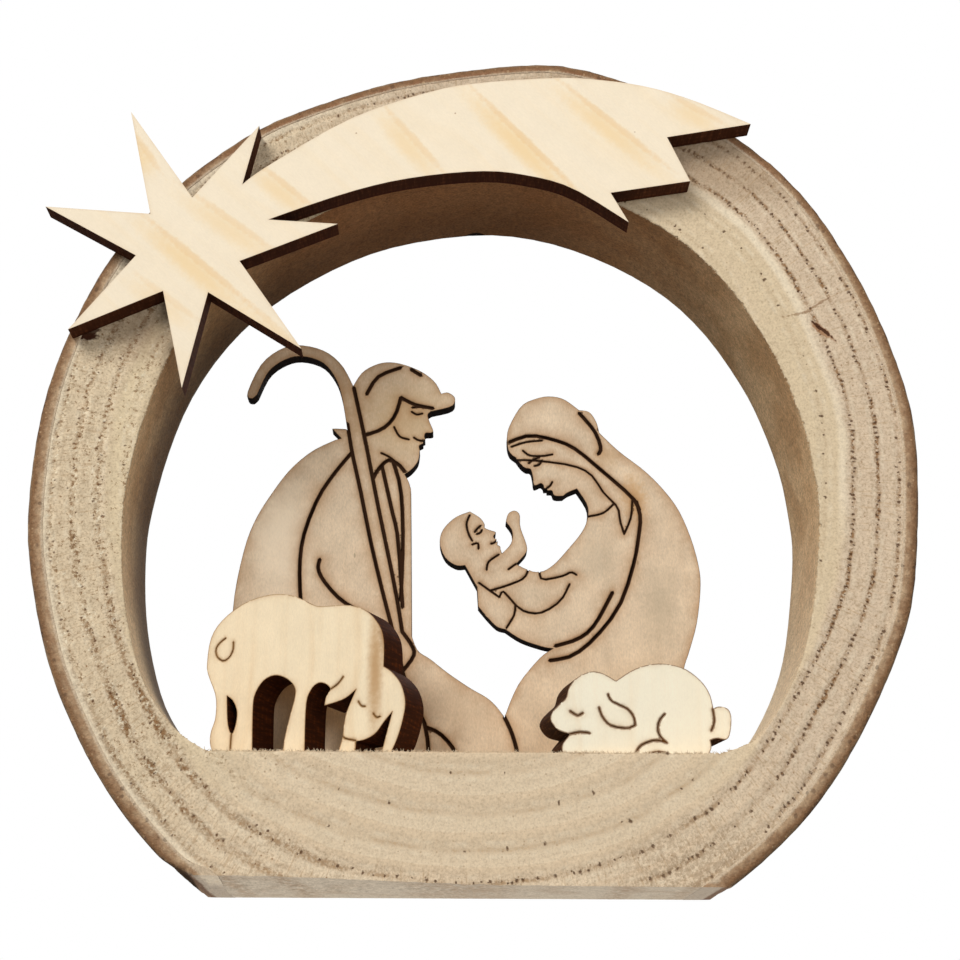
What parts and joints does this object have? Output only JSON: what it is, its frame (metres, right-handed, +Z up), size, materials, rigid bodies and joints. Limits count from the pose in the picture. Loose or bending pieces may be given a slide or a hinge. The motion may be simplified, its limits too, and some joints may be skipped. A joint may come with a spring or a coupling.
{
  "type": "nativity scene",
  "caption": "Nativity of laser-cut plywood figures in a hollowed log slice, with a comet glued to its front and two sheep on the floor.",
  "frame": {"origin": "middle of the sawn base, half-way through the log slice's depth", "axes": "+Z up, +Y from the front with the comet towards the back, +X to the right as seen from the front"},
  "size_m": [0.1326, 0.028, 0.1286],
  "materials": {
    "end_grain": "sawn, untreated",
    "bark": "rough natural bark",
    "pale_plywood": "sanded faces, scorched edges",
    "tan_plywood": "sanded faces, scorched edges"
  },
  "bodies": {
    "root": {"log_ring": "end_grain", "bark": "bark", "comet": "pale_plywood", "holy_family": "tan_plywood", "grazing_sheep": "pale_plywood", "lying_sheep": "pale_plywood"}
  },
  "joints": []
}
